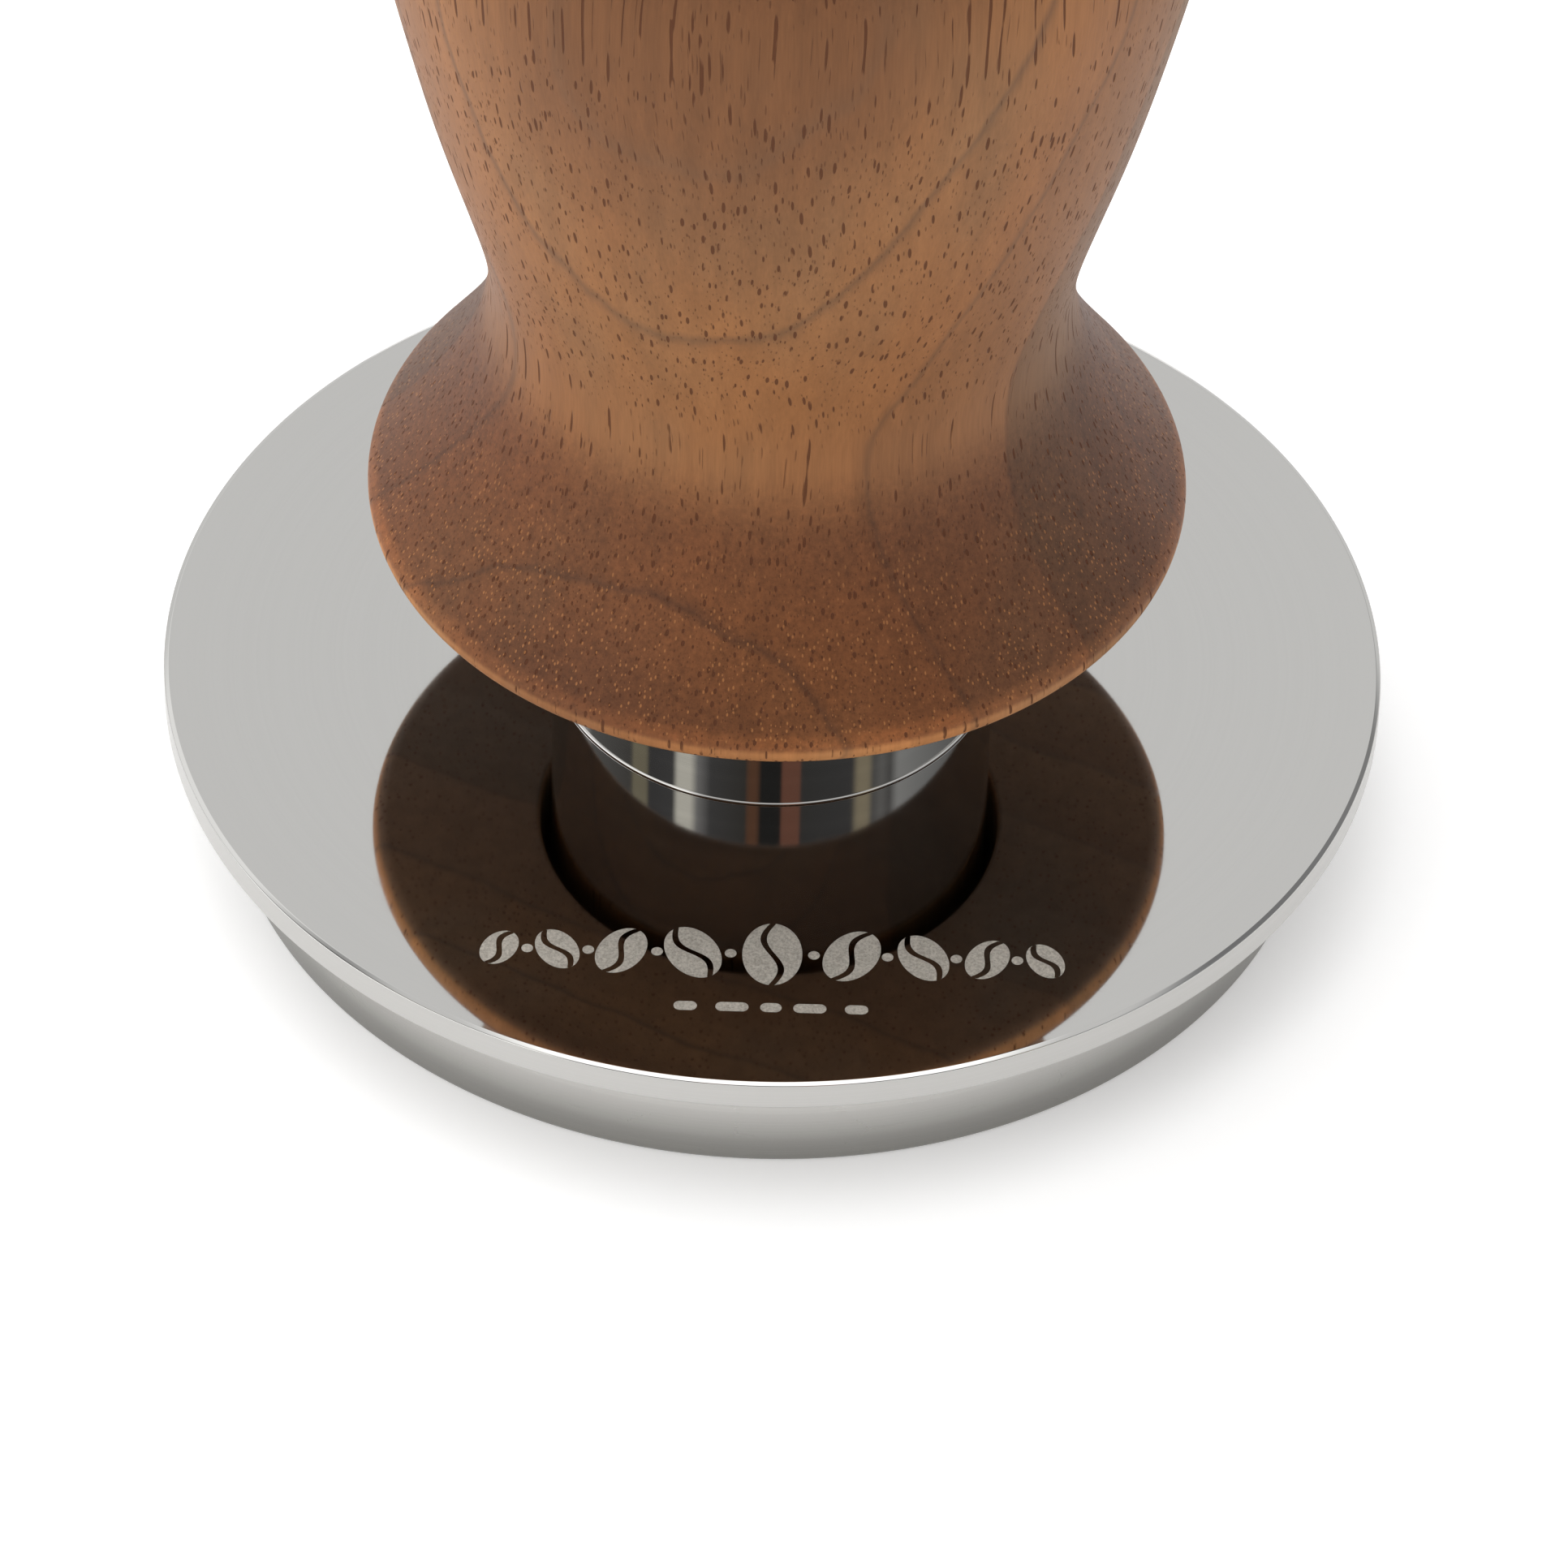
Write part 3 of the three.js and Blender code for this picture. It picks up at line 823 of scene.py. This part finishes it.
plateShape = {
    "bevel": (0.24, 0.11),  # broken top edge: mm in from the edge, mm down it
    "edge": 0.08,
    "boreRadius": 11.2,
}
neckShape = {
    "fillet": 0.16,
    "clear": 0.002,  # between the fillet's foot and the plate
    "innerRadius": 10.5,
    "bushBore": 9.25,
    "step": 14.2,
    "spigot": 11.1,
}
puckShape = {
    "topEdge": 0.35,
    "bottomEdge": 0.35,
    "counterbore": 8.1,
    "floor": 6.0,  # height of the counterbore's floor
    "studHole": (4.0, 1.6),  # radius and lowest point
    "ringGroove": (5.5, 7.1, 1.0),  # inner and outer radius, depth
}


def plateMesh(shape):
    low, high = lowHigh("levelling_plate")
    outer, bottom, top = high[0], low[2], high[2]
    inward, down = shape["bevel"]
    edge = shape["edge"]
    profile = roundedProfile(
        [
            (shape["boreRadius"], top, 0.05),
            (outer - inward, top, edge),
            (outer, top - down, edge),
            (outer, bottom, 2 * edge),
            (shape["boreRadius"], bottom, 0.05),
        ]
    )
    mesh = revolve("levelling_plate_polished", profile, 360)
    # the turned edge has its own satin finish
    centres = np.zeros(len(mesh.polygons) * 3)
    normals = np.zeros(len(mesh.polygons) * 3)
    mesh.polygons.foreach_get("center", centres)
    mesh.polygons.foreach_get("normal", normals)
    radius = np.hypot(*centres.reshape(-1, 3).T[:2]) / mm
    edgeFaces = (radius > outer - 0.01) & (np.abs(normals.reshape(-1, 3)[:, 2]) < 0.5)
    mesh.polygons.foreach_set("material_index", edgeFaces.astype(int))
    return mesh


def neckMesh(shape):
    low, high = lowHigh("plate_sleeve")
    outer, bottom, top = high[0], low[2], high[2]
    foot = lowHigh("levelling_plate")[1][2] + shape["clear"]
    fillet = shape["fillet"]
    sweep = np.linspace(0, np.pi / 2, 7)
    # the little fillet at the foot: a hollow quarter circle from the wall out to the plate
    flare = np.stack(
        [outer + fillet * (1 - np.cos(sweep)), foot + shape["clear"] + fillet * (1 - np.sin(sweep))],
        axis=1,
    )
    upper = roundedProfile(
        [
            (shape["bushBore"], shape["step"], 0),
            (shape["innerRadius"], shape["step"], 0.1),
            (shape["innerRadius"], top, 0.2),
            (outer, top, 0.4),
            (outer, foot + fillet + 0.038, 0),  # keeps the wall above the fillet flat
        ],
        closed=False,
    )
    lower = np.array(
        [
            (outer + fillet, foot),
            (shape["spigot"], foot),
            (shape["spigot"], bottom),
            (shape["bushBore"], bottom),
        ]
    )
    return revolve("plate_sleeve_turned", np.vstack([upper, flare, lower]), 300)


def puckMesh(shape):
    low, high = lowHigh("tamping_base")
    outer, bottom, top = high[0], low[2], high[2]
    floor = shape["floor"]
    hole, holeBottom = shape["studHole"]
    grooveInner, grooveOuter, grooveDepth = shape["ringGroove"]
    profile = roundedProfile(
        [
            (0, holeBottom, 0),
            (hole, holeBottom, 0.1),
            (hole, floor, 0.1),
            (grooveInner, floor, 0.05),
            (grooveInner, floor - grooveDepth, 0.05),
            (grooveOuter, floor - grooveDepth, 0.05),
            (grooveOuter, floor, 0.05),
            (shape["counterbore"], floor, 0.05),
            (shape["counterbore"], top, 0.15),
            (outer, top, shape["topEdge"]),
            (outer, bottom, shape["bottomEdge"]),
            (0, bottom, 0),
        ],
        closed=False,
    )
    return revolve("tamping_base_turned", profile, 360)


addPiece(
    "mirror_plate", plateMesh(plateShape), ["mirror_steel", "edge_steel"], "leveller",
    ["levelling_plate"],
)
addPiece(
    "polished_neck", neckMesh(neckShape), ["sleeve_steel"], "leveller", ["plate_sleeve"]
)
addPiece("steel_puck", puckMesh(puckShape), ["puck_steel"], "base", ["tamping_base"])
print("plate, neck and puck made")


springShapes = {
    "pressure_spring": {
        "wire": 2.0,
        "meanRadius": 7.0,
        "turns": 7.5,
        "joint": "handle_press",
        "travel": 3.5,
        "fixedEnd": "bottom",
    },
    "levelling_spring": {
        "wire": 0.9,
        "meanRadius": 9.25,
        "turns": 6.5,
        "joint": "plate_lift",
        "travel": 8.0,
        "fixedEnd": "top",
    },
}


def springMesh(name, shape):
    # Wire carried along a helix: the centreline is (R cos a, R sin a, z(a)), where z
    # climbs slowly over the closed end turns and faster between, and the section is a
    # circle across it. Sections are clipped at the two ground ends.
    low, high = lowHigh(name)
    bottom, top = low[2], high[2]
    wire, turns = shape["wire"], shape["turns"]
    inset, endPitch = 0.32 * wire, 1.12 * wire
    openPitch = (top - bottom - 2 * inset - 2 * endPitch) / (turns - 2)
    stepsPerTurn, wireSides = 60, 20
    turn = np.linspace(0, turns, int(turns * stepsPerTurn) + 1)
    opened = np.clip(turn - 1, 0, turns - 2)
    z = bottom + inset + (turn - opened) * endPitch + opened * openPitch
    angle = 2 * np.pi * turn
    sides = 2 * np.pi * np.arange(wireSides) / wireSides
    outward = shape["meanRadius"] + wire / 2 * np.cos(sides)[None, :]
    height = np.clip(z[:, None] + wire / 2 * np.sin(sides)[None, :], bottom, top)
    rings = np.stack(
        [outward * np.cos(angle)[:, None], outward * np.sin(angle)[:, None], height], axis=-1
    )
    return loft(name + "_coil", rings[:, ::-1], True)


for name, shape in springShapes.items():
    mesh = springMesh(name, shape)
    coil = addPiece(name + "_wound", mesh, ["spring_steel"], "base", [name])
    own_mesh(coil)
print("springs made")


ornamentShape = {
    "centre": (0.4, -22.9),  # mm, on the front of the plate
    "beans": (  # distance from the centre, half length, half width, tilt in degrees
        (0.0, 2.25, 1.55, 90), (4.1, 1.95, 1.35, 62), (7.8, 1.75, 1.2, 118),
        (11.1, 1.5, 1.05, 62), (14.1, 1.3, 0.9, 118),
    ),
    "dots": (2.15, 5.95, 9.5, 12.65),  # distance from the centre
    "dotRadius": 0.3,
    "bars": ((0.0, 0.55), (2.0, 0.85), (4.4, 0.6)),  # distance from the centre, half length
    "barHalfWidth": 0.32,
    "rowDrop": 3.9,  # from the beans to the bars
    "gap": 0.34,  # the bean's crease
    "thickness": 0.012,  # above the plate's face, and as much again below it
}


def slab(across, inner, outer, turn, centre, thickness):
    # Flat tongue of metal: at each station along its length it spans from inner to
    # outer across, and its section is a thin rectangle.
    top = lowHigh("levelling_plate")[1][2]
    low, high = top - thickness, top + thickness
    along = np.stack([across] * 4, axis=1)
    side = np.stack([inner, outer, outer, inner], axis=1)
    z = np.broadcast_to([low, low, high, high], along.shape)
    c, s = math.cos(turn), math.sin(turn)
    x = centre[0] + along * c - side * s
    y = centre[1] + along * s + side * c
    return np.stack([x, y, z], axis=-1)


def beanRings(centre, halfLength, halfWidth, turn, shape):
    # Two lobes of an ellipse either side of an S-shaped crease y = 0.3 b sin(pi x / a).
    # Stations stop a hair short of the tips, so that no face there has zero width.
    u = np.sin(np.linspace(-np.pi / 2, np.pi / 2, 41))
    across = halfLength * u * 0.995
    rim = halfWidth * np.sqrt(1 - (across / halfLength) ** 2)
    crease = 0.3 * halfWidth * np.sin(np.pi * across / halfLength)
    gap = shape["gap"] / 2
    inner = np.minimum(crease + gap, rim - 0.004)
    return [slab(across, inner, rim, turn + half, centre, shape["thickness"]) for half in (0, np.pi)]


def roundedBar(centre, halfLength, halfWidth, shape):
    # Stadium: full width along the middle, closing in a half circle at each end, with the
    # last stations a hair short of the tips.
    u = np.sin(np.linspace(-np.pi / 2, np.pi / 2, 33))
    across = halfLength * u * 0.999
    past = np.clip(np.abs(across) - (halfLength - halfWidth), 0, None)
    rim = np.sqrt(np.clip(halfWidth**2 - past**2, 1e-6, None))
    return slab(across, -rim, rim, 0.0, centre, shape["thickness"])


def joinMeshes(name, stacks):
    # several lofts in one mesh
    parts = []
    for rings in stacks:
        part = loft("part", rings)
        points = np.zeros(len(part.vertices) * 3)
        part.vertices.foreach_get("co", points)
        loops = np.zeros(len(part.loops), int)
        part.loops.foreach_get("vertex_index", loops)
        totals = np.zeros(len(part.polygons), int)
        part.polygons.foreach_get("loop_total", totals)
        fours = int((totals == 4).sum())
        parts.append((points.reshape(-1, 3) / mm, loops[: fours * 4], loops[fours * 4 :]))
        bpy.data.meshes.remove(part)
    shifts = np.r_[0, np.cumsum([len(p[0]) for p in parts])[:-1]]
    return buildMesh(
        name,
        np.vstack([p[0] for p in parts]),
        np.concatenate([p[1] + s for p, s in zip(parts, shifts)]),
        np.concatenate([p[2] + s for p, s in zip(parts, shifts)]),
        False,
    )


def ornamentMesh(shape):
    x, y = shape["centre"]
    stacks = []
    for away, halfLength, halfWidth, tilt in shape["beans"]:
        for side in (-1, 1) if away else (1,):
            turn = math.radians(tilt if side > 0 else 180 - tilt)
            stacks += beanRings((x + side * away, y), halfLength, halfWidth, turn, shape)
    radius = shape["dotRadius"]
    for away in shape["dots"]:
        for side in (-1, 1):
            stacks.append(roundedBar((x + side * away, y), radius, radius - 0.001, shape))
    for away, halfLength in shape["bars"]:
        for side in (-1, 1) if away else (1,):
            spot = (x + side * away, y - shape["rowDrop"])
            stacks.append(roundedBar(spot, halfLength, shape["barHalfWidth"], shape))
    return joinMeshes("etched_ornament_mesh", stacks)


addPiece("etched_ornament", ornamentMesh(ornamentShape), ["etched"], "leveller")
print("ornament made")


for part in frame["record"]["subparts"]:
    piece = frame["nodes"][part["node"]]
    slotName = part["material_slot"]
    if not piece.hide_render:
        piece.data.materials.clear()
        piece.data.materials.append(materials[slotName])
print("inner pieces finished")


studio = {
    "floorSize": 3.0,  # metres
    "floorHeight": -0.02,  # mm
    "floorColours": ((0.88, 0.88, 0.88, 1), (0.8976, 0.8976, 0.8976, 1)),
    "floorGlow": (0.30, 0.48),  # near the object and far from it
    "glowFrom": (50.0, 130.0),  # mm from the middle
    "room": (  # direction in degrees, 0 towards the camera and positive to its right, and colour
        (-170, (1.0, 1.0, 1.0)),
        (-160, (1.4, 1.4, 1.4)),
        (-120, (1.4, 1.4, 1.4)),
        (-108, (0.25, 0.25, 0.25)),
        (-78, (0.16, 0.155, 0.15)),
        (-76, (0.44, 0.40, 0.29)),
        (-68, (0.44, 0.40, 0.29)),
        (-66, (0.12, 0.12, 0.125)),
        (-52, (0.14, 0.14, 0.145)),
        (-49, (1.35, 1.33, 1.22)),
        (-42, (1.35, 1.33, 1.22)),
        (-38, (0.45, 0.45, 0.46)),
        (-31, (0.14, 0.14, 0.145)),
        (-12, (0.10, 0.095, 0.09)),
        (-11, (0.26, 0.13, 0.08)),
        (-6, (0.26, 0.13, 0.08)),
        (-5, (0.045, 0.045, 0.045)),
        (6, (0.045, 0.045, 0.045)),
        (7, (0.37, 0.17, 0.12)),
        (15.5, (0.37, 0.17, 0.12)),
        (16.5, (0.10, 0.10, 0.10)),
        (44, (0.12, 0.12, 0.125)),
        (47, (0.60, 0.52, 0.37)),
        (53, (0.60, 0.52, 0.37)),
        (56, (0.22, 0.22, 0.22)),
        (61, (0.33, 0.33, 0.33)),
        (66, (0.20, 0.20, 0.20)),
        (71, (0.62, 0.63, 0.64)),
        (85, (0.50, 0.51, 0.52)),
        (115, (0.30, 0.30, 0.31)),
        (160, (0.45, 0.45, 0.45)),
        (170, (1.0, 1.0, 1.0)),
    ),
    # a low soft box: left and right edge, bottom and top in degrees, and how soft each is
    "lowBox": (-105, -35, 9, 33),
    "lowBoxSoft": (8, 6, 4, 3),
    "lowBoxColour": (2.3, 2.3, 2.3, 1),
    "roomHeights": (21.0, 30.0, 54.0, 63.0),  # degrees: the bands come in, are full, go out
    "surround": (1.0, 1.0, 1.0, 1),  # below and above the bands
    "topBoxFrom": (66.0, 76.0),  # degrees up, the soft box overhead
    "topBoxColour": (2.3, 2.3, 2.3, 1),
    "sunStrength": 0.66,
    "sunSpread": 90.0,  # degrees
    "sunFrom": (-0.62, 0.10, 0.74),
}


def floorMaterial():
    made, tree, shader = newMaterial("pale_floor", {"Roughness": 0.7})
    place = inMillimetres(tree)
    grain = noise(tree, place, 0.04, 3.0)
    dark, pale = studio["floorColours"]
    tone = mixColours(tree, remap(tree, grain, 0.2, 0.8), dark, pale)
    tree.links.new(tone, shader.inputs["Base Color"])
    away = addNode(tree, "ShaderNodeVectorMath", {0: place}, operation="LENGTH").outputs["Value"]
    start, end = studio["glowFrom"]
    near, far = studio["floorGlow"]
    tree.links.new(remap(tree, away, start, end, near, far), shader.inputs["Emission Strength"])
    shader.inputs["Emission Color"].default_value = (1, 1, 1, 1)
    return made


def addFloor():
    size, z = studio["floorSize"] / mm, studio["floorHeight"]
    corners = np.array([(-size, -size, z), (size, -size, z), (size, size, z), (-size, size, z)])
    mesh = buildMesh("floor", corners, [[0, 1, 2, 3]], [])
    floor = bpy.data.objects.new("floor", mesh)
    scene.collection.objects.link(floor)
    mesh.materials.append(floorMaterial())


def addSurroundings():
    # a studio room seen as bands of colour all round, white near the floor and overhead
    world = bpy.data.worlds.new("studio")
    scene.world = world
    world.use_nodes = True
    tree = world.node_tree
    background = tree.nodes["Background"]
    direction = addNode(tree, "ShaderNodeTexCoord").outputs["Generated"]
    x, y, z = addNode(tree, "ShaderNodeSeparateXYZ", {0: direction}).outputs
    turn = maths(tree, "ARCTAN2", x, maths(tree, "MULTIPLY", y, -1.0))
    lift = maths(tree, "MULTIPLY", maths(tree, "ARCSINE", z), 180 / math.pi)
    comesIn, full, fades, gone = studio["roomHeights"]
    above = maths(tree, "MULTIPLY", remap(tree, lift, comesIn, full), remap(tree, lift, gone, fades))
    stops = [((azimuth + 180) / 360, colour + (1,)) for azimuth, colour in studio["room"]]
    room = colourRamp(tree, remap(tree, turn, -math.pi, math.pi, smooth=False), stops)
    around = mixColours(tree, above, studio["surround"], room)
    azimuth = maths(tree, "MULTIPLY", turn, 180 / math.pi)
    inBox = 1.0
    edges = zip((azimuth, azimuth, lift, lift), studio["lowBox"], studio["lowBoxSoft"], (1, -1, 1, -1))
    for angle, edge, soft, side in edges:
        inside = remap(tree, angle, edge - side * soft, edge + side * soft)
        inBox = maths(tree, "MULTIPLY", inBox, inside)
    around = mixColours(tree, inBox, around, studio["lowBoxColour"])
    inTop = remap(tree, lift, *studio["topBoxFrom"])
    around = mixColours(tree, inTop, around, studio["topBoxColour"])
    seen = addNode(tree, "ShaderNodeLightPath").outputs["Is Camera Ray"]
    tree.links.new(mixColours(tree, seen, around, (1, 1, 1, 1)), background.inputs["Color"])


def addSun():
    data = bpy.data.lights.new("overhead", "SUN")
    data.energy = studio["sunStrength"]
    data.angle = math.radians(studio["sunSpread"])
    sun = bpy.data.objects.new("overhead", data)
    scene.collection.objects.link(sun)
    sun.rotation_euler = Vector(studio["sunFrom"]).to_track_quat("Z", "Y").to_euler()
    sun.visible_glossy = False  # it only fills; the reflections are of the room


addFloor()
addSurroundings()
addSun()
print("studio set")
